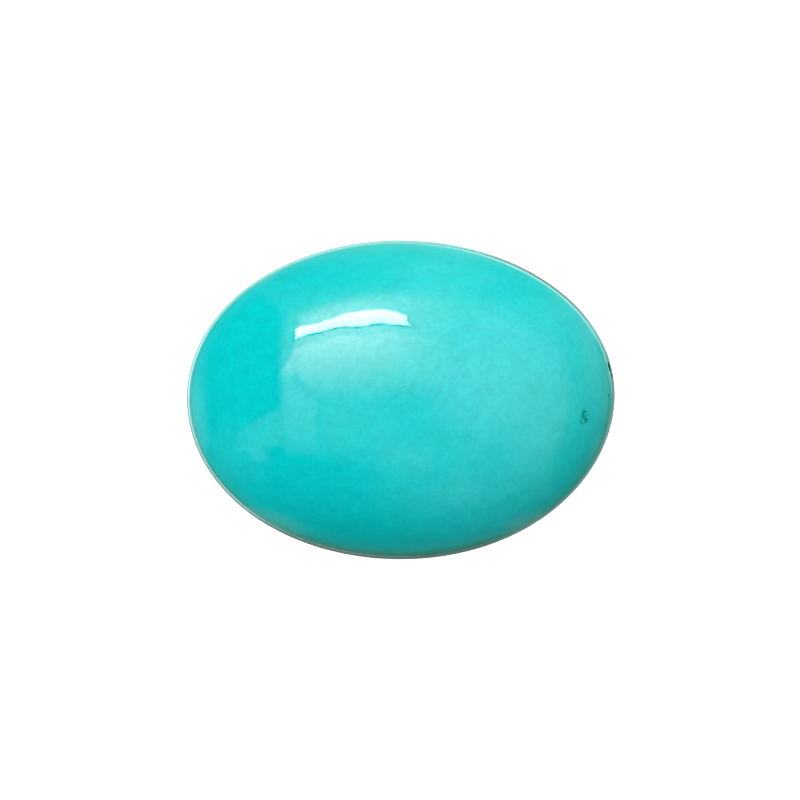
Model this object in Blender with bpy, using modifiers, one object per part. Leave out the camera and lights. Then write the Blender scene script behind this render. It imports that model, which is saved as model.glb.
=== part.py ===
"""A polished oval turquoise cabochon: one stone, domed on top and ground flat behind.

Metres, +Z up. The stone lies on its flat back with its long axis along X, and the origin is the
middle of the back. The half section is turned, then moved out to the hand-ground oval, and the
small pit in the dome and the chip in the girdle are cut from it.
"""

import math

import bpy
from mathutils import Matrix, Vector

# Size of the stone
LENGTH = 0.0161
WIDTH = 0.0120
HEIGHT = 0.0059

# The ground band round the edge, which a bezel would grip, and the bevel round the back
GIRDLE_HEIGHT = 0.0009
GIRDLE_LEAN = math.radians(6)
BACK_BEVEL = 0.0003

# The dome is this much of a quarter turn of an ellipse, so it meets the girdle in a low ridge
DOME_ARC = math.radians(68)

# Hand grinding left slow waves in the outline: waves round it, share of the reach, first crest
OUTLINE_WAVES = (
    (2, 0.0028, math.radians(47.0)),
    (3, 0.0042, math.radians(26.5)),
    (4, 0.0020, math.radians(33.0)),
    (5, 0.0011, math.radians(12.5)),
)

# The pit is three hollows that run into each other: place along X and Y, length and width, depth,
# and the turn of the length from +X
PIT_HOLLOWS = (
    ((0.00694, -0.00054), (0.00020, 0.00010), 0.00008, math.radians(63)),
    ((0.00697, -0.00072), (0.00026, 0.00010), 0.00009, math.radians(-59)),
    ((0.00688, -0.00082), (0.00017, 0.00015), 0.00003, math.radians(0)),
)

# The chip in the girdle: turn round the oval, inset and height of its middle, and its size
# outwards, along the edge and upwards
CHIP_BEARING = math.radians(11.8)
CHIP_INSET = 0.00005
CHIP_HEIGHT = 0.00095
CHIP_SIZE = (0.00018, 0.00024, 0.0010)

# Mesh
SEGMENTS = 112
DOME_RINGS = 26
CUTTER_SEGMENTS = 16
MERGE_DISTANCE = 1e-6

TURQUOISE = (0.014, 0.510, 0.500, 1.0)
POLISH_ROUGHNESS = 0.12

RIDGE_INSET = GIRDLE_HEIGHT * math.tan(GIRDLE_LEAN)
RIDGE_REACH = LENGTH / 2 - RIDGE_INSET
RIDGE_HEIGHT = BACK_BEVEL + GIRDLE_HEIGHT


def clear_scene():
    for obj in list(bpy.data.objects):
        bpy.data.objects.remove(obj)


def new_collection(name):
    collection = bpy.data.collections.new(name)
    bpy.context.scene.collection.children.link(collection)
    return collection


def turquoise():
    material = bpy.data.materials.new("polished turquoise")
    material.use_nodes = True
    surface = material.node_tree.nodes["Principled BSDF"]
    surface.inputs["Base Color"].default_value = TURQUOISE
    surface.inputs["Roughness"].default_value = POLISH_ROUGHNESS
    surface.inputs["Metallic"].default_value = 0.0
    return material


def dome_height(share):
    """Height of the dome's surface where the reach is this share of the ridge's."""
    turn = math.asin(share * math.sin(DOME_ARC))
    rise = (math.cos(turn) - math.cos(DOME_ARC)) / (1 - math.cos(DOME_ARC))
    return RIDGE_HEIGHT + (HEIGHT - RIDGE_HEIGHT) * rise


def half_section():
    """The section from the apex down the dome, girdle and back bevel to the middle of the back."""
    points = []
    for ring in range(DOME_RINGS + 1):
        share = math.sin(DOME_ARC * ring / DOME_RINGS) / math.sin(DOME_ARC)
        points.append((share * RIDGE_REACH, 0.0, dome_height(share)))
    points.append((LENGTH / 2, 0.0, BACK_BEVEL))
    points.append((LENGTH / 2 - BACK_BEVEL, 0.0, 0.0))
    points.append((0.0, 0.0, 0.0))
    return points


def outline(bearing):
    """Point of the hand-ground outline at this turn round the oval, and its outward direction."""
    waves = sum(share * math.cos(count * (bearing - crest)) for count, share, crest in OUTLINE_WAVES)
    edge = Vector((LENGTH / 2 * math.cos(bearing), WIDTH / 2 * math.sin(bearing))) * (1 + waves)
    outward = Vector((WIDTH * math.cos(bearing), LENGTH * math.sin(bearing))).normalized()
    return edge, outward


def on_the_oval(turned):
    """Where a point of the turned stone lies on the oval one, with an even girdle and bevel."""
    bearing = math.atan2(turned.y, turned.x)
    reach = math.hypot(turned.x, turned.y)
    edge, outward = outline(bearing)
    if turned.z < RIDGE_HEIGHT - MERGE_DISTANCE:
        place = (edge - outward * (LENGTH / 2 - reach)) if reach > 0 else Vector((0, 0))
    else:
        place = (edge - outward * RIDGE_INSET) * (reach / RIDGE_REACH)
    return Vector((place.x, place.y, turned.z))


def turned_stone():
    """The half section turned about Z, as a round stone of the long side's reach."""
    points = half_section()
    profile = bpy.data.meshes.new("half section")
    profile.from_pydata(points, [(i, i + 1) for i in range(len(points) - 1)], [])
    guide = bpy.data.objects.new("half section", profile)
    bpy.context.scene.collection.objects.link(guide)
    turn = guide.modifiers.new("turn", "SCREW")
    turn.axis = "Z"
    turn.steps = turn.render_steps = SEGMENTS
    turn.use_merge_vertices = True
    turn.merge_threshold = MERGE_DISTANCE
    bpy.context.view_layer.update()
    evaluated = guide.evaluated_get(bpy.context.evaluated_depsgraph_get())
    mesh = bpy.data.meshes.new_from_object(evaluated)
    bpy.data.objects.remove(guide)
    return mesh


def hollow(name, centre, size, turn, collection):
    """An egg-shaped cutter of this size, its length turned from +X about Z."""
    bpy.ops.mesh.primitive_uv_sphere_add(segments=CUTTER_SEGMENTS, ring_count=CUTTER_SEGMENTS // 2)
    cutter = bpy.context.object
    cutter.name = name
    half_size = Vector(size) / 2
    cutter.data.transform(Matrix.LocRotScale(centre, Matrix.Rotation(turn, 3, "Z"), half_size))
    for owner in list(cutter.users_collection):
        owner.objects.unlink(cutter)
    collection.objects.link(cutter)
    cutter.hide_render = True
    cutter.display_type = "WIRE"
    return cutter


def bearing_of(place):
    """Turn round the oval at which this point of the plan lies."""
    return math.atan2(place.y / WIDTH, place.x / LENGTH)


def pit_cutters(collection):
    cutters = []
    for number, (place, (length, width), depth, turn) in enumerate(PIT_HOLLOWS, start=1):
        plan = Vector(place)
        edge, outward = outline(bearing_of(plan))
        share = plan.length / (edge - outward * RIDGE_INSET).length
        centre = Vector((plan.x, plan.y, dome_height(share)))
        size = (length, width, 2 * depth)
        cutters.append(hollow(f"pit hollow {number}", centre, size, turn, collection))
    return cutters


def chip_cutter(collection):
    edge, outward = outline(CHIP_BEARING)
    plan = edge - outward * CHIP_INSET
    centre = Vector((plan.x, plan.y, CHIP_HEIGHT))
    return hollow("girdle chip", centre, CHIP_SIZE, math.atan2(outward.y, outward.x), collection)


def main():
    clear_scene()
    stones = new_collection("turquoise cabochon")
    cutters = new_collection("cutters")

    mesh = turned_stone()
    for vertex in mesh.vertices:
        vertex.co = on_the_oval(vertex.co)
    stone = bpy.data.objects.new("turquoise_cabochon", mesh)
    stones.objects.link(stone)
    mesh.materials.append(turquoise())
    mesh.shade_smooth()
    mesh.set_sharp_from_angle(angle=math.radians(10))

    for cutter in (*pit_cutters(cutters), chip_cutter(cutters)):
        cut = stone.modifiers.new(cutter.name, "BOOLEAN")
        cut.object = cutter
        cut.operation = "DIFFERENCE"


main()
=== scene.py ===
import math

import bpy
from mathutils import Matrix, Vector, noise


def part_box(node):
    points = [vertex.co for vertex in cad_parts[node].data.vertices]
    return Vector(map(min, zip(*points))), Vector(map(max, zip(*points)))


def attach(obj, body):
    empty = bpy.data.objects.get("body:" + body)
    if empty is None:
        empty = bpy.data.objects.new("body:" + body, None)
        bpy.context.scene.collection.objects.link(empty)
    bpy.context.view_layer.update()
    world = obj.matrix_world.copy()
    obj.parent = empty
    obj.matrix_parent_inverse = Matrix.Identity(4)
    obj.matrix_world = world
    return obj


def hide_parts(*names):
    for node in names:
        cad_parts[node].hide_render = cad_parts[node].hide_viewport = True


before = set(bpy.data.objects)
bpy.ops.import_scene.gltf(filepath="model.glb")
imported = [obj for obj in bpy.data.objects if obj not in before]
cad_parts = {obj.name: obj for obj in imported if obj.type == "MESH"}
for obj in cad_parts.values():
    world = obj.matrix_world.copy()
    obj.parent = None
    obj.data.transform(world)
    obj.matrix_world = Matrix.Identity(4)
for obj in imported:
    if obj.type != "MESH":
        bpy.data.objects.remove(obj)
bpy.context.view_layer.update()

# The stone
# One piece of turquoise: a slice sawn from the rough, ground to an oval against a template, its
# edge dressed to a narrow girdle, its top domed, sanded and polished, its back left as ground.

OVAL_LENGTH = 0.0161
OVAL_WIDTH = 0.0120
BACK_BEVEL = 0.0003
GIRDLE_HEIGHT = 0.0009
GIRDLE_LEAN = math.radians(6)
DOME_ARC_RINGS = 102
SPHERE_RINGS = 270
ROUND_SEGMENTS = 320

# Polishing wears the ridge over the girdle round, and the corners of the back lose their edge
LIP_HEIGHT = 0.00025
RIDGE_WEAR = 0.00016
CORNER_WEAR = 0.00003
SAME_HEIGHT = 1e-6

_, top_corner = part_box("turquoise_cabochon")
dome_arc = math.pi * DOME_ARC_RINGS / SPHERE_RINGS
ridge_height = BACK_BEVEL + GIRDLE_HEIGHT
ridge_inset = GIRDLE_HEIGHT * math.tan(GIRDLE_LEAN)
ridge_reach = Vector((OVAL_LENGTH / 2 - ridge_inset, OVAL_WIDTH / 2 - ridge_inset))
dome_rise = (top_corner.z - ridge_height) / (1 - math.cos(dome_arc))
dome_centre = top_corner.z - dome_rise
dome_reach = ridge_reach / math.sin(dome_arc)
lip_height = ridge_height + LIP_HEIGHT
lip_share = math.sqrt(1 - ((lip_height - dome_centre) / dome_rise) ** 2)


def select_ring(piece, height):
    """Selects the edges that lie level at this height."""
    bpy.ops.mesh.select_all(action="DESELECT")
    bpy.ops.object.mode_set(mode="OBJECT")
    heights = [vertex.co.z for vertex in piece.data.vertices]
    for edge in piece.data.edges:
        edge.select = all(abs(heights[end] - height) < SAME_HEIGHT for end in edge.vertices)
    bpy.ops.object.mode_set(mode="EDIT")


bpy.ops.object.select_all(action="DESELECT")
bpy.ops.mesh.primitive_uv_sphere_add(segments=ROUND_SEGMENTS, ring_count=SPHERE_RINGS, radius=1)
stone = bpy.context.object
stone.name = "turquoise_stone"
bpy.ops.object.mode_set(mode="EDIT")
bpy.context.tool_settings.mesh_select_mode = (False, True, False)
bpy.ops.mesh.select_all(action="SELECT")
bpy.ops.transform.resize(value=(dome_reach.x, dome_reach.y, dome_rise), center_override=(0, 0, 0))
bpy.ops.transform.translate(value=(0, 0, dome_centre))
bpy.ops.mesh.bisect(plane_co=(0, 0, lip_height), plane_no=(0, 0, 1), clear_inner=True, threshold=1e-6)

# The lip of the dome, the girdle and the back bevel are drawn down from the cut edge of the dome
ridge = (math.sin(dome_arc) / lip_share, math.sin(dome_arc) / lip_share, 1)
girdle_foot = (OVAL_LENGTH / 2 / ridge_reach.x, OVAL_WIDTH / 2 / ridge_reach.y, 1)
back_edge = (1 - 2 * BACK_BEVEL / OVAL_LENGTH, 1 - 2 * BACK_BEVEL / OVAL_WIDTH, 1)
for drop, spread in ((LIP_HEIGHT, ridge), (GIRDLE_HEIGHT, girdle_foot), (BACK_BEVEL, back_edge)):
    bpy.ops.mesh.extrude_edges_move(TRANSFORM_OT_translate={"value": (0, 0, -drop)})
    bpy.ops.transform.resize(value=spread, center_override=(0, 0, 0))
bpy.ops.mesh.edge_face_add()
for ring_height, wear, steps in (
    (ridge_height, RIDGE_WEAR, 7), (BACK_BEVEL, CORNER_WEAR, 3), (0, CORNER_WEAR, 3)
):
    select_ring(stone, ring_height)
    bpy.ops.mesh.bevel(offset=wear, segments=steps, affect="EDGES")
bpy.ops.object.mode_set(mode="OBJECT")

# Hand grinding left slow waves in the outline: waves round it, share of the reach, first crest
OUTLINE_WAVES = (
    (1, 0.0046, math.radians(64.0)),
    (2, 0.0028, math.radians(47.0)),
    (3, 0.0042, math.radians(26.5)),
    (4, 0.0020, math.radians(33.0)),
    (5, 0.0011, math.radians(12.5)),
)


def outline_wave(x, y):
    """How far the hand-ground outline reaches on this side, as a share of the even oval."""
    bearing = math.atan2(y / OVAL_WIDTH, x / OVAL_LENGTH)
    return 1 + sum(share * math.cos(count * (bearing - crest)) for count, share, crest in OUTLINE_WAVES)


for vertex in stone.data.vertices:
    wave = outline_wave(vertex.co.x, vertex.co.y)
    vertex.co.x *= wave
    vertex.co.y *= wave

# The finish of the stone
# Fine-grained turquoise, even in colour with a faint clouding, polished to a mirror and waxed. The
# ground girdle and back are paler and matt, with a trace of the brown host rock at the foot.
# Painted shade darkens the lip, edge and foot on the lower and right sides, and a painted
# highlight pales the ridge at the upper right.

POLISHED_TURQUOISE = (0.001, 0.590, 0.590, 1)
CLOUD_TURQUOISE = (0.001, 0.600, 0.575, 1)
EDGE_GREEN_AND_SHADE = (0.004, 0.540, 0.440, 1)
LIP_SHADE_GREEN = (0.008, 0.400, 0.270, 1)
PAINTED_RIDGE_HIGHLIGHT = (0.130, 0.800, 0.760, 1)
GROUND_TURQUOISE = (0.090, 0.680, 0.630, 1)
HOST_BROWN = (0.130, 0.120, 0.085, 1)
FOOT_TAN_AND_SHADE = (0.340, 0.380, 0.280, 1)
PALE_SPECK = (0.120, 0.720, 0.690, 1)

# The mirror polish, the matt ground faces, and how much the film of wax covers
STONE_IOR = 1.575
POLISH_ROUGHNESS = 0.02
GROUND_ROUGHNESS = 0.70
WAX_ROUGHNESS = 0.02
WAX_COVER = 0.28

# How much each kind of grain changes the colour
FLECK_CONTRAST = 0.095
MOTTLE_CONTRAST = 0.20
PINHOLE_DARKENING = 0.06
SCRATCH_DARKENING = 0.16

# Depth of the marks in metres
POLISH_RIPPLE = 2.5e-6
GIRDLE_MARKS = 3.0e-6
BACK_MARKS = 5.0e-6


class Socket:
    """A socket in a node tree. Sums on it add Math nodes, and node() adds a node of any kind."""

    def __init__(self, tree, socket=None):
        self.tree = tree
        self.socket = socket

    def node(self, kind, settings=None, inputs=None, output=0):
        made = self.tree.nodes.new(kind)
        for name, value in (settings or {}).items():
            setattr(made, name, value)
        for name, value in (inputs or {}).items():
            if isinstance(value, Socket):
                self.tree.links.new(value.socket, made.inputs[name])
            else:
                made.inputs[name].default_value = value
        return Socket(self.tree, made.outputs[output])

    def maths(self, operation, *others):
        """A Math node on this and the others, in that order."""
        return self.node("ShaderNodeMath", {"operation": operation}, dict(enumerate((self, *others))))

    def smooth(self, low, high):
        """0 up to low, 1 from high, and a smooth rise between."""
        limits = {"Value": self, "From Min": low, "From Max": high}
        return self.node("ShaderNodeMapRange", {"interpolation_type": "SMOOTHSTEP"}, limits)

    def dot(self, direction):
        vectors = {0: self, 1: direction}
        return self.node("ShaderNodeVectorMath", {"operation": "DOT_PRODUCT"}, vectors, "Value")

    def moved(self, offset):
        return self.node("ShaderNodeVectorMath", {"operation": "ADD"}, {0: self, 1: offset})

    def stretch(self, factors):
        return self.node("ShaderNodeVectorMath", {"operation": "MULTIPLY"}, {0: self, 1: factors})

    def blend(self, low, high):
        """The colour low where this is 0 and high where it is 1."""
        return self.node("ShaderNodeMix", {"data_type": "RGBA"}, {0: self, 6: low, 7: high}, 2)

    def __add__(self, other):
        return self.maths("ADD", other)

    def __sub__(self, other):
        return self.maths("SUBTRACT", other)

    def __rsub__(self, other):
        return self.node("ShaderNodeMath", {"operation": "SUBTRACT"}, {0: other, 1: self})

    def __mul__(self, other):
        return self.maths("MULTIPLY", other)

    def __truediv__(self, other):
        return self.maths("DIVIDE", other)

    __radd__ = __add__
    __rmul__ = __mul__


stone_material = bpy.data.materials.new("turquoise")
stone_material.use_nodes = True
tree = stone_material.node_tree
place = Socket(tree).node("ShaderNodeTexCoord", output="Object")


def grain(size=1, detail=2.0, along=None, fineness=0.5):
    """Cloudy noise with features of this size in metres, or of one size along each axis."""
    vector = place.stretch([1 / length for length in along]) if along else place
    scale = 1 if along else 1 / size
    inputs = {"Vector": vector, "Scale": scale, "Detail": detail, "Roughness": fineness}
    return place.node("ShaderNodeTexNoise", inputs=inputs)


height = place.dot((0, 0, 1))
sideways = place.dot((1 / OVAL_LENGTH, 0, 0)) * 2
upward = place.dot((0, 1 / OVAL_WIDTH, 0)) * 2


def side(along, across, low, high):
    """1 on the side of the stone that lies this way along its length and width, and 0 on the other."""
    return (sideways * along + upward * across).smooth(low, high)


def band_over_ridge(low, high):
    """1 up to the first height over the ridge, fading to 0 at the second."""
    return 1 - height.smooth(ridge_height + low, ridge_height + high)


def line_over_ridge(rise, near, far):
    """1 along a line this high over the ridge, fading to 0 between two distances from it."""
    return 1 - (height - ridge_height - rise).maths("ABSOLUTE").smooth(near, far)


shaded_side = side(0.35, -0.94, -0.3, 0.7)
underside = side(-0.05, -1, 0.7, 0.97)
dark_corner = side(0.66, 0.75, 0.925, 0.985)
upper_right = side(0.75, 0.66, 0.6, 0.95)
lower_left = side(-0.8, -0.6, 0.75, 0.98)
right_tip = sideways.smooth(0.90, 1.0)
near_tips = sideways.maths("ABSOLUTE").smooth(0.5, 0.95)

# The wheel that ground the girdle reached higher up the edge at the front and the lower left
WHEEL_TOP = ridge_height - 0.00030
WHEEL_FADE = 0.00012
FOOT_FADE = (0.00050, 0.00085)
RAGGEDNESS = 0.00012
ragged = height + (grain(0.0004) - 0.5) * RAGGEDNESS
raised_wheel = underside * 0.0003 + lower_left * 0.0002
raised_foot = dark_corner * 0.0003 + underside * 0.0003
ground = 1 - (ragged - raised_wheel).smooth(WHEEL_TOP - WHEEL_FADE, WHEEL_TOP)
foot = 1 - (ragged - raised_foot).smooth(*FOOT_FADE)
back = 1 - height.smooth(0.00001, 0.00004)
low_band = band_over_ridge(0.0001, 0.0012)
lower_lip = band_over_ridge(0.0001, 0.0007)
edge = band_over_ridge(0.0001, 0.0003)
lip = line_over_ridge(0.00016, 0.00006, 0.00022)
crest = line_over_ridge(0.00008, 0.00005, 0.00015)

# Fine scratches near the top of the dome: place along X and Y, turn, half length
SCRATCHES = (
    (0.00041, 0.00023, 34, 0.00014),
    (0.00057, 0.00017, 31, 0.00011),
    (0.00010, 0.00044, 20, 0.00017),
    (0.00007, 0.00066, 36, 0.00010),
    (0.00082, 0.00034, 38, 0.00016),
    (-0.00020, 0.00019, 27, 0.00009),
    (0.00148, 0.00030, 58, 0.00012),
)
SCRATCH_WIDTH = 0.00003
SCRATCH_DEPTH = 2.5e-6
grooves = place.dot((0, 0, 0))
for x, y, bearing, half_length in SCRATCHES:
    run = Vector((math.cos(math.radians(bearing)), math.sin(math.radians(bearing)), 0))
    beside = Vector((-run.y, run.x, 0))
    from_middle = place.moved((-x, -y, 0))
    along = from_middle.dot(run / half_length)
    across = from_middle.dot(beside / SCRATCH_WIDTH)
    grooves = grooves + (1 - (along * along).smooth(0.2, 1)) * (1 - (across * across).smooth(0, 1))

# Fine grain in the colour and in the film of wax, clouds, and painted shade on the lip of the dome
fleck = grain(0.00022, 3.0, fineness=0.9).smooth(0.42, 0.58)
pinholes = grain(0.00009, 1.0).smooth(0.70, 0.80)
clouds = grain(0.0015, 3.0).smooth(0.35, 0.65)
# Painted shade: the lip of the dome is darker toward the tips, and the edge darker on the lower side and
# lower left
painted_lip_shade = lip * (0.03 + near_tips * 0.07) * (1 - upper_right)
painted_lip_shade = painted_lip_shade + edge * (lower_left * 0.20 + underside * 0.22)
mottle = 1 + (fleck - 0.5) * FLECK_CONTRAST + (grain(0.0006) - 0.5) * MOTTLE_CONTRAST
mottle = mottle - pinholes * PINHOLE_DARKENING - painted_lip_shade - grooves * SCRATCH_DARKENING
tint = clouds.blend(POLISHED_TURQUOISE, CLOUD_TURQUOISE)
# Painted shade: the low band on the shaded side turns a darker green; the whole edge also takes a little of
# this green
tint = (low_band * shaded_side).blend(tint, EDGE_GREEN_AND_SHADE)
tint = (edge * 0.35).blend(tint, EDGE_GREEN_AND_SHADE)
# Painted shade: the lower lip at the front and at the right tip turns dark green
tint = (lower_lip * underside).blend(tint, LIP_SHADE_GREEN)
tint = (lower_lip * right_tip * 0.42).blend(tint, LIP_SHADE_GREEN)
# Painted highlight: a pale line along the ridge at the upper right
tint = (crest * upper_right * 0.9).blend(tint, PAINTED_RIDGE_HIGHLIGHT)

# Two pale grains show at the right of the dome: place along X and Y, radius, strength
SPECKS = (
    (0.00462, 0.00159, 0.00006, 0.10),
    (0.00449, 0.00176, 0.00004, 0.05),
)
for x, y, radius, strength in SPECKS:
    reach = place.moved((-x, -y, 0)).stretch((1 / radius, 1 / radius, 0))
    speck = (1 - reach.dot(reach).smooth(0, 1)) * strength
    tint = speck.blend(tint, PALE_SPECK)

tint = ground.blend(tint, GROUND_TURQUOISE)
# The foot is faintly tan all round; painted shade makes it browner on the lower side, the right tip and the
# lower left
tint = (foot * (0.25 + underside * 0.5 + right_tip * 0.4 + lower_left * 0.4)).blend(tint, FOOT_TAN_AND_SHADE)
tint = (foot * dark_corner * 0.8).blend(tint, HOST_BROWN)
host_patches = grain(0.0035, 4.0).smooth(0.56, 0.66) * back
tint = (host_patches * 0.8).blend(tint, HOST_BROWN)
grey = place.node("ShaderNodeCombineColor", inputs={0: mottle, 1: mottle, 2: mottle})
multiply = {"data_type": "RGBA", "blend_type": "MULTIPLY"}
colour = place.node("ShaderNodeMix", multiply, {0: 1.0, 6: tint, 7: grey}, 2)

relief = grain(0.0005) * POLISH_RIPPLE - grooves * SCRATCH_DEPTH
girdle_marks = grain(along=(0.0009, 0.0009, 0.00002)) * GIRDLE_MARKS
back_marks = grain(along=(0.006, 0.00004, 0.01)) * BACK_MARKS
relief = relief + girdle_marks * ground * (1 - back) + back_marks * back
bump = place.node("ShaderNodeBump", inputs={"Height": relief, "Distance": 1.0, "Strength": 1.0})
roughness = POLISH_ROUGHNESS + ground * (GROUND_ROUGHNESS - POLISH_ROUGHNESS)
wax = fleck * WAX_COVER * (1 - ground)

surface = tree.nodes["Principled BSDF"]
surface.inputs["IOR"].default_value = STONE_IOR
surface.inputs["Coat Roughness"].default_value = WAX_ROUGHNESS
tree.links.new(colour.socket, surface.inputs["Base Color"])
tree.links.new(roughness.socket, surface.inputs["Roughness"])
tree.links.new(wax.socket, surface.inputs["Coat Weight"])
tree.links.new(bump.socket, surface.inputs["Normal"])
stone.data.materials.append(stone_material)

# The pit and the chips
# A soft spot near the right tip tore out in polishing and left a small crooked pit. Handling
# knocked a nick out of the edge above it, with a worn line under the nick, and a speck lower
# down. All are matt inside, and their darker colour is partly the broken stone's own and partly
# painted shade of the hollows.

PIT_COLOUR = (0.001, 0.300, 0.270, 1)
CHIP_COLOUR = (0.008, 0.300, 0.200, 1)
BROKEN_ROUGHNESS = 0.9
BROKEN_GLOSS = 0.1
DUST_PER_METRE = 30000.0
CRUMB_DEPTH = 4.0e-6

# Lumps in the shape of each hollow: their share of its size, how close they lie, and where in
# the noise each hollow takes them from
LUMP_SHARE = 0.35
LUMP_CLOSENESS = 1.6
LUMP_START = Vector((3.1, 7.7, 1.9))
LUMP_STEP_PER_METRE = 3000

SMOOTH_ANGLE = math.radians(14)


def dome_top(x, y):
    """Height of the dome over this place."""
    wave = outline_wave(x, y)
    share = (x / wave / dome_reach.x) ** 2 + (y / wave / dome_reach.y) ** 2
    return dome_centre + dome_rise * math.sqrt(max(1 - share, 0))


def dome_normal(x, y):
    """The way the dome faces at this place."""
    rise = (dome_top(x, y) - dome_centre) / dome_rise ** 2
    return Vector((x / dome_reach.x ** 2, y / dome_reach.y ** 2, rise)).normalized()


def refine(piece, middle, reach, cuts):
    """Divides the faces round a place, and lays those of the dome on its curve again."""
    bpy.ops.object.mode_set(mode="EDIT")
    bpy.context.tool_settings.mesh_select_mode = (False, False, True)
    bpy.ops.mesh.select_all(action="DESELECT")
    bpy.ops.object.mode_set(mode="OBJECT")
    for face in piece.data.polygons:
        face.select = (face.center - middle).length < reach
    bpy.ops.object.mode_set(mode="EDIT")
    bpy.ops.mesh.subdivide(number_cuts=cuts)
    bpy.ops.object.mode_set(mode="OBJECT")
    for vertex in piece.data.vertices:
        if (vertex.co - middle).length < reach * 1.5 and vertex.co.z > ridge_height + RIDGE_WEAR * 1.5:
            vertex.co.z = dome_top(vertex.co.x, vertex.co.y)


def hollow(piece, name, middle, size, turn, outward, material):
    """Cuts a rough egg of this size out of the piece, its length turned from +X, its depth outward."""
    bpy.ops.object.select_all(action="DESELECT")
    bpy.ops.mesh.primitive_ico_sphere_add(subdivisions=4, radius=1)
    cutter = bpy.context.object
    cutter.data.materials.append(material)
    for vertex in cutter.data.vertices:
        spot = vertex.co * LUMP_CLOSENESS + LUMP_START + middle * LUMP_STEP_PER_METRE
        vertex.co *= 1 + LUMP_SHARE * noise.noise(spot)
    leant = Vector((0, 0, 1)).rotation_difference(outward).to_matrix()
    turned = leant @ Matrix.Rotation(math.radians(turn), 3, "Z")
    cutter.data.transform(Matrix.LocRotScale(middle, turned, Vector(size) / 2))
    bpy.context.view_layer.objects.active = piece
    cut = piece.modifiers.new(name, "BOOLEAN")
    cut.object = cutter
    cut.operation = "DIFFERENCE"
    cut.solver = "EXACT"
    cut.material_mode = "TRANSFER"
    bpy.ops.object.modifier_apply(modifier=name)
    bpy.data.objects.remove(cutter)


def broken(name, colour):
    """A matt, crumbly material of this colour."""
    material = bpy.data.materials.new(name)
    material.use_nodes = True
    inside = Socket(material.node_tree)
    spot = inside.node("ShaderNodeTexCoord", output="Object")
    specks = {"Vector": spot, "Scale": DUST_PER_METRE, "Detail": 3.0}
    dust = inside.node("ShaderNodeTexNoise", inputs=specks)
    pale = [channel * 1.3 for channel in colour[:3]] + [1]
    sockets = material.node_tree.nodes["Principled BSDF"].inputs
    material.node_tree.links.new(dust.smooth(0.3, 0.7).blend(colour, pale).socket, sockets["Base Color"])
    crumbs = inside.node("ShaderNodeBump", inputs={"Height": dust * CRUMB_DEPTH, "Distance": 1.0})
    material.node_tree.links.new(crumbs.socket, sockets["Normal"])
    sockets["Roughness"].default_value = BROKEN_ROUGHNESS
    sockets["Specular IOR Level"].default_value = BROKEN_GLOSS
    return material


pit_material = broken("torn turquoise", PIT_COLOUR)
chip_material = broken("chipped turquoise", CHIP_COLOUR)

# Place along X and Y; length, width and depth; turn of the length in degrees
PIT_HOLLOWS = (
    ((0.006901, -0.000456), (0.00026, 0.00016, 0.00011), 10),
    ((0.006841, -0.000557), (0.00020, 0.00017, 0.00012), 60),
    ((0.006901, -0.000661), (0.00024, 0.00017, 0.00012), -40),
    ((0.006965, -0.000755), (0.00025, 0.00018, 0.00011), -30),
    ((0.006763, -0.000725), (0.00010, 0.00007, 0.00003), 80),
    ((0.006752, -0.000800), (0.00010, 0.00007, 0.00003), -60),
    ((0.006808, -0.000871), (0.00016, 0.00008, 0.00005), -15),
    ((0.006909, -0.000856), (0.00015, 0.00005, 0.00002), 20),
    ((0.007040, -0.000557), (0.00014, 0.00008, 0.00002), 30),
)
PIT_PLACE = (0.0069, -0.0007)
PIT_REACH = 0.00045
refine(stone, Vector((*PIT_PLACE, dome_top(*PIT_PLACE))), PIT_REACH, 5)
for number, ((x, y), size, bearing) in enumerate(PIT_HOLLOWS):
    middle = Vector((x, y, dome_top(x, y)))
    hollow(stone, f"pit {number}", middle, size, bearing, dome_normal(x, y), pit_material)

# The nick, a worn line below it and a speck: middle, size and turn of the length in degrees
CHIPS = (
    ((0.007806, 0.001262, 0.00095), (0.00016, 0.00042, 0.0007), 14),
    ((0.007926, 0.000965, 0.00090), (0.00004, 0.00038, 0.0007), 12),
    ((0.007800, 0.000168, 0.00153), (0.00010, 0.00009, 0.00012), 0),
)
CHIPS_PLACE = Vector((0.00790, 0.00080, 0.0009))
CHIPS_REACH = 0.0010
refine(stone, CHIPS_PLACE, CHIPS_REACH, 3)
for number, (middle, size, bearing) in enumerate(CHIPS):
    hollow(stone, f"chip {number}", Vector(middle), size, bearing, Vector((0, 0, 1)), chip_material)

bpy.ops.object.select_all(action="DESELECT")
stone.select_set(True)
bpy.context.view_layer.objects.active = stone
bpy.ops.object.shade_smooth_by_angle(angle=SMOOTH_ANGLE)

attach(stone, "root")
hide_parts("turquoise_cabochon")

# The camera
# It looks straight down on the stone from 600 mm, so the outline is seen almost without
# perspective, and the stone takes the same part of the picture as in the photograph.

PHOTO_SIDE = 800
METRES_PER_PIXEL = 0.03750e-3
CAMERA_HEIGHT = 0.6
SENSOR_MM = 36
frame_side = PHOTO_SIDE * METRES_PER_PIXEL
camera_data = bpy.data.cameras.new("camera")
camera_data.sensor_width = SENSOR_MM
camera_data.lens = SENSOR_MM * (CAMERA_HEIGHT - ridge_height) / frame_side
camera_data.clip_start = 0.001
camera = bpy.data.objects.new("camera", camera_data)
camera.location = (0, 0, CAMERA_HEIGHT)
bpy.context.scene.collection.objects.link(camera)
bpy.context.scene.camera = camera

# The floor
# A plain white sheet, lit so evenly that it shows no shadow. Only the camera sees it: the room
# stands in for it in the polish.

FLOOR_SIDE = 4
PAPER_WHITE = (0.9, 0.9, 0.9, 1)
PAPER_GLOW = 0.8

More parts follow.
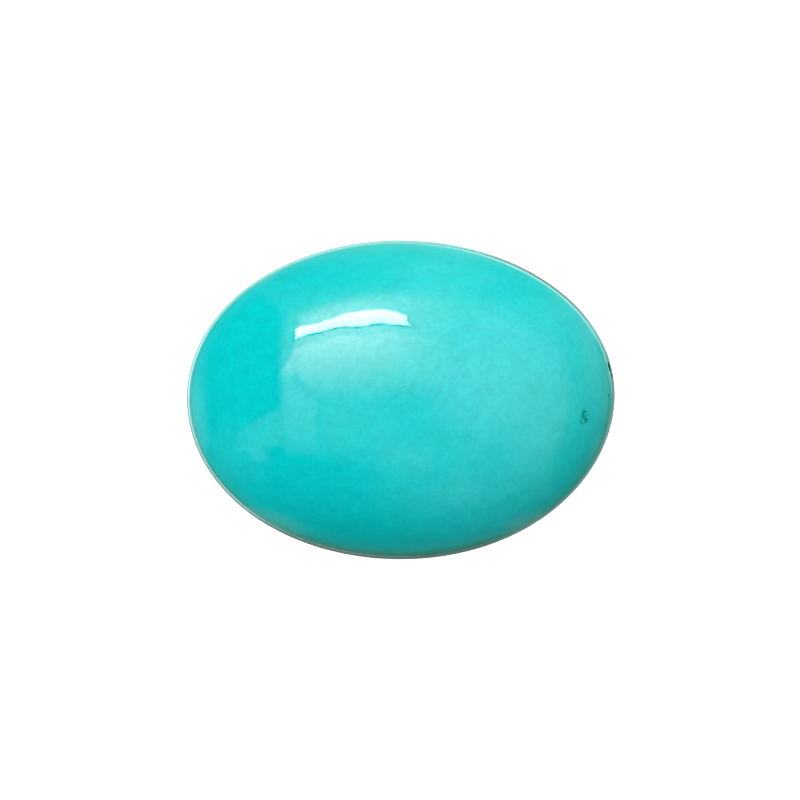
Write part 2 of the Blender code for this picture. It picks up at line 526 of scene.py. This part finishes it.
bpy.ops.object.select_all(action="DESELECT")
bpy.ops.mesh.primitive_plane_add(size=FLOOR_SIDE)
floor = bpy.context.object
floor.name = "white floor"
floor_material = bpy.data.materials.new("white paper")
floor_material.use_nodes = True
white = floor_material.node_tree.nodes["Principled BSDF"].inputs
white["Base Color"].default_value = PAPER_WHITE
white["Roughness"].default_value = 1.0
white["Specular IOR Level"].default_value = 0.0
white["Emission Color"].default_value = (1, 1, 1, 1)
white["Emission Strength"].default_value = PAPER_GLOW
floor.data.materials.append(floor_material)
floor.visible_glossy = False
floor.visible_diffuse = False
floor.visible_shadow = False

# The lights
# Soft boxes a metre away light the colour: one overhead, two on the shaded side, and the glow of
# the pale table from low down. The polish doesn't mirror them, because the room draws its own.

SOFTBOX_SIDE = 0.8
WATTS_PER_STRENGTH = math.pi * math.pi * 1.3
# Bearing from straight ahead, angle from the zenith, strength and colour
SOFT_LIGHTS = (
    ("overhead", -30, 16, 0.785, (1, 1, 1.03)),
    ("right", 95, 50, 0.085, (1, 1, 1.15)),
    ("near", 160, 50, 0.30, (1, 1, 0.96)),
    ("table left", -90, 105, 0.635, (1, 1, 1.06)),
    ("table far", 0, 105, 0.585, (1, 1, 0.90)),
    ("table right", 45, 105, 0.40, (1, 1, 0.98)),
)
for name, bearing, zenith_angle, power, light_colour in SOFT_LIGHTS:
    data = bpy.data.lights.new(name, "AREA")
    data.shape = "SQUARE"
    data.size = SOFTBOX_SIDE
    data.energy = power * WATTS_PER_STRENGTH
    data.color = light_colour
    softbox = bpy.data.objects.new(name, data)
    around = math.radians(bearing)
    down = math.radians(zenith_angle)
    reach = math.sin(down)
    outward = Vector((reach * math.sin(around), reach * math.cos(around), math.cos(down)))
    softbox.matrix_world = Matrix.LocRotScale(outward, outward.to_track_quat("Z", "Y"), None)
    softbox.visible_camera = False
    softbox.visible_glossy = False
    bpy.context.scene.collection.objects.link(softbox)

# The room
# What the polish mirrors, drawn on a chart round the zenith in degrees: a window with a bright
# tube across it, a pale wall to the right of it, a dim ceiling, and dark to the left and below.

WARM_WINDOW = (1, 0.80, 0.70, 1)

# Light from each part of the room, where the white sheet would send 1
CEILING_LIGHT = 0.624
WALL_LIGHT = 0.30
FAR_TABLE_LIGHT = 0.27
LOW_TABLE_LIGHT = 0.45
SHADE_LIGHT = 0.0165
CARD_LIGHT = 0.225
CARD_TOP_LIGHT = 0.42
ARM_LIGHT = 0.465
WINDOW_LIGHT = 4.67
WINDOW_TOP_LIGHT = 2.9
HALO_LIGHT = 0.35
TUBE_LIGHT = 11.8
TUBE_CORE_LIGHT = 4.0
SHEET_LIGHT = 0.66

# Where the parts lie on the chart, in degrees to the right of the zenith and up from it
CEILING_LEFT = -56.4
CEILING_CORNER = 74
CEILING_LOW = -39
WALL_END = 88
CARD_LEFT = -55.4
CARD_RIGHT = -38.8
CARD_FOOT = -44.7
WINDOW_LEFT = -47
WINDOW_TOP = 84.7
TUBE_LEFT = -48.8
TUBE_RIGHT = 2.7
TUBE_LIFT = 0.4

room = bpy.data.worlds.new("room")
room.use_nodes = True
room_tree = room.node_tree
bpy.context.scene.world = room
room.cycles_visibility.diffuse = False
aim = Socket(room_tree).node("ShaderNodeTexCoord", output="Generated")
east = aim.dot((1, 0, 0))
north = aim.dot((0, 1, 0))
zenith_share = aim.dot((0, 0, 1))
from_zenith = zenith_share.maths("ARCCOSINE") * (180 / math.pi)
flat_share = (east * east + north * north).maths("SQRT")
spread = from_zenith / flat_share.maths("MAXIMUM", 0.0001)
right = east * spread
up = north * spread


def within(distance, softness):
    """1 inside a soft edge and 0 outside it, by the distance inside."""
    return distance.smooth(-softness, softness)


# Soft patches of more or less light: place right and up, half width and height, strength
CEILING_PATCHES = (
    (4, -9, 21, 26, -0.22),
    (11, -46, 29, 36, -0.235),
    (1, -52, 18, 19, 0.38),
    (-18, -30, 12.5, 31, -0.13),
    (38, 57, 72, 64, 0.20),
    (37, 9, 36, 45, 0.29),
)
TABLE_PATCHES = (
    (50, 105, 40, 29, -0.245),
    (107, 50, 9, 54, 0.125),
    (-140, 5, 36, 108, 0.23),
    (-87, -50, 29, 36, 0.085),
    (44, -58, 18, 27, -0.257),
    (21, 106, 32, 22, 0.233),
    (74, -72, 13, 29, 0.09),
    (-16, 117, 72, 33, -0.193),
    (-71, -48.5, 8, 9, 0.30),
    (-121, -26, 15, 50, 0.19),
    (118, -58, 11, 22, 0.14),
    (68, -116, 18, 16, 0.13),
    (124, 58, 10, 20, -0.35),
    (-75, 121, 14, 14, 0.15),
    (134, 0, 10, 26, -0.20),
    (-36.3, -22, 3.5, 18, -0.17),
    (-67, -116, 26, 18, 0.16),
)


def patches(rows):
    total = 0
    for patch_right, patch_up, half_width, half_height, strength in rows:
        x = (right - patch_right) / half_width
        y = (up - patch_up) / half_height
        total = (1 - (x * x + y * y).smooth(0, 1)) * strength + total
    return total


def facing(right_share, up_share, low, high):
    """1 for the part of the room that lies this way from the middle of the chart."""
    return ((right * right_share + up * up_share) / from_zenith.maths("MAXIMUM", 1)).smooth(low, high)


toward_wall = right * 0.722 + up * 0.692
past_corner = (up - CEILING_CORNER).maths("MAXIMUM", 0)
left_edge = within(right - CEILING_LEFT + past_corner * 0.6, 3.2)
low_edge = within(up - CEILING_LOW + (right + 30) * 0.3, 18)
right_part = within(right + up * 0.167 - 1.2, 44)
ceiling = left_edge * (1 - (1 - low_edge) * (1 - right_part))
radiance = CEILING_LIGHT + toward_wall.smooth(5, 34) * WALL_LIGHT + patches(CEILING_PATCHES)
wall_end = within(right - WALL_END + (up - 10) * (up - 10) * 0.002, 3) * right.smooth(40, 60)
radiance = radiance * (1 - from_zenith.smooth(73.6, 106.2) * 0.818) * (1 - wall_end * 0.318)
radiance = radiance * ceiling * (1 - from_zenith.smooth(105, 140) * 0.864)
far_table = (right * 0.839 + up).smooth(29.4, 126) * from_zenith.smooth(80, 110)
toward_right = facing(0.5, -0.87, 0.2, 0.7)
right_end = facing(0.996, 0.087, 0.93, 0.99)
low_table = LOW_TABLE_LIGHT - toward_right * 0.18
radiance = radiance + far_table * FAR_TABLE_LIGHT + from_zenith.smooth(114, 168) * low_table
radiance = radiance + patches(TABLE_PATCHES) + SHADE_LIGHT - right_end * from_zenith.smooth(136, 156) * 0.25

# A pale card leans against the left end of the ceiling, and its arm reaches down to the table
window_foot = right * 1.86 + up + 69
card_slope = -83.1 - right * 1.95 - up
card_top = within(card_slope, 1.5) * 0.4 + within(0 - window_foot, 1.5) * 0.6
card = within(CARD_RIGHT - right, 0.9) * card_top * within(right - CARD_LEFT, 1.2)
card = card * within(up - CARD_FOOT, 3)
arm = (1 - left_edge) * within(39.2 + right * 0.809 - up, 3) * within(up + 39.5 - (right + 62) * 0.4, 3)
arm = arm * within(right + 84.9, 4.5) * (1 - (0 - right).smooth(55, 90) * 0.616)
card_glow = CARD_LIGHT + up.smooth(-22, 25) * CARD_TOP_LIGHT
radiance = radiance + card * card_glow + arm * ARM_LIGHT

# The window is brightest under the tube
below = (67 - up).maths("MAXIMUM", 0) * 0.113 + (41 - up).maths("MAXIMUM", 0) * 0.24
from_left = right - WINDOW_LEFT + below
corner = (up * 0.3 - 6.4).maths("MINIMUM", -50 - right)
pane_foot = window_foot.maths("MAXIMUM", corner)
pane = within(from_left, 1.6) * (0.8 + from_left.smooth(0, 10) * 0.2) * (1 - right.smooth(-29, 30))
halo = (within(from_left + 5.5, 2.5) - within(from_left, 1.6)) * within(up - 30, 6) * within(78 - up, 4)
pane = pane * within(WINDOW_TOP - (right - 4) * (right - 4) * 0.00557 - up, 8) * within(pane_foot, 1.5)

# Edges of the tube, from left to right: place right and up
TUBE_UNDER = (
    (-60, 44.0), (-49, 51.2), (-45, 53.7), (-40, 55.7), (-35, 57.3), (-30, 59.5), (-26, 60.5),
    (-20, 60.3), (-15.5, 60.5), (-12.5, 61.6), (-8.5, 62.4), (-5, 61.7), (0, 60.7), (10, 59.5),
)
TUBE_OVER = (
    (-60, 50.0), (-49, 58.5), (-47, 61.8), (-42, 63.1), (-37, 64.2), (-33, 66.2), (-30, 67.6),
    (-27, 69.2), (-24.5, 71.0), (-21, 71.8), (-15, 73.2), (-8, 73.5), (-4, 72.3), (0, 70.2), (10, 60.0),
)

# How dark the rim under the tube is, from left to right
TUBE_RIM = (
    (-60, 0.4), (-51, 1.0), (-49, 0.5), (-47.5, 0.8), (-45, 0.3), (-42, 0.7), (-38, 1.0), (-35.5, 0.9),
    (-33.5, 0.4), (-31, 0.4), (-29.5, 0.8), (-27, 0.7), (-24, 0.5), (-21, 0.4), (-19.2, 1.0), (-17.5, 0.5),
    (-15, 0.2), (-13, 0.7), (-8, 0.9), (-6, 0.4), (-3, 0.6), (0, 0.9), (3, 0.7), (10, 0.1),
)


def drawn(places, low, high):
    """A value between low and high that follows a line drawn through these places."""
    first, last = places[0][0], places[-1][0]
    position = (right - first) / (last - first)
    line = position.node("ShaderNodeFloatCurve", inputs={"Value": position})
    profile = line.socket.node.mapping
    points = profile.curves[0].points
    for number, (x, y) in enumerate(places):
        spot = ((x - first) / (last - first), (y - low) / (high - low))
        if number < 2:
            points[number].location = spot
        else:
            points.new(*spot)
    profile.update()
    return line * (high - low) + low


def ripple(size, offset):
    """Uneven polish makes the edges it mirrors waver, by noise with waves of this many degrees."""
    across, along = right * (1 / size), up * (1 / size)
    spot = right.node("ShaderNodeCombineXYZ", inputs={0: across, 1: along, 2: offset})
    return spot.node("ShaderNodeTexNoise", inputs={"Vector": spot, "Scale": 1.0, "Detail": 2.0}) - 0.5


under = up + TUBE_LIFT - drawn(TUBE_UNDER, 40, 80) + ripple(3, 0) * 1.2
over = up + TUBE_LIFT - drawn(TUBE_OVER, 40, 80) + ripple(3, 5) * 1.2
past_tube = right - TUBE_RIGHT - (63.5 - up).maths("MAXIMUM", 0) * 0.5
low_glow = (up + 1.66).maths("MAXIMUM", 0.001) / 50
gap = within(under + 8 + ripple(7, 9) * 7, 1.2)
glow = low_glow.maths("POWER", 1.148) * WINDOW_LIGHT * (1 - gap * 0.40)
glow = glow + (WINDOW_TOP_LIGHT - glow) * over.smooth(-3, 0)
tube = under.smooth(-0.8, 0.8) * (1 - over.smooth(-1.2, 1.2))
tube = tube * within(right - TUBE_LEFT, 0.7) * (1 - within(past_tube, 0.9))
radiance = radiance + pane * glow + halo.maths("MAXIMUM", 0) * HALO_LIGHT

# The dark rim of the tube shows below it and at its left end, here more and there less
rim = under.smooth(-2.7, -1.6) * (1 - over.smooth(-2, 0))
rim = rim * within(right - TUBE_LEFT + 2, 0.6) * (1 - within(past_tube - 1.5, 1))
rim = (rim - tube).maths("MAXIMUM", 0) * drawn(TUBE_RIM, 0, 1)
radiance = radiance * (1 - rim)
radiance = radiance + (TUBE_LIGHT + under.smooth(1, 8) * TUBE_CORE_LIGHT - radiance) * tube

# The white sheet under the stone shows at the ridge on the left, and a pale edge at the upper right
leftward = facing(-0.94, -0.34, 0.1, 0.95)
far_right = facing(0.72, 0.69, 0.6, 0.95)
radiance = radiance + leftward * from_zenith.smooth(134, 154) * SHEET_LIGHT
radiance = radiance + from_zenith.smooth(138, 158) * (0.1 - toward_right * 0.1)
pale_edge = from_zenith.smooth(138, 144) * 0.45 - from_zenith.smooth(147, 157) * 0.90
radiance = radiance + far_right * pale_edge
radiance = radiance.maths("MAXIMUM", 0)

seen = aim.node("ShaderNodeLightPath", output="Is Camera Ray")
window_share = (pane * glow) / radiance.maths("MAXIMUM", 0.01) * (1 - seen)
room_colour = window_share.blend((1, 1, 1, 1), WARM_WINDOW)
backdrop = room_tree.nodes["Background"].inputs
room_tree.links.new(seen.maths("MAXIMUM", radiance).socket, backdrop["Strength"])
room_tree.links.new(room_colour.socket, backdrop["Color"])

bpy.context.scene.view_settings.view_transform = "Standard"
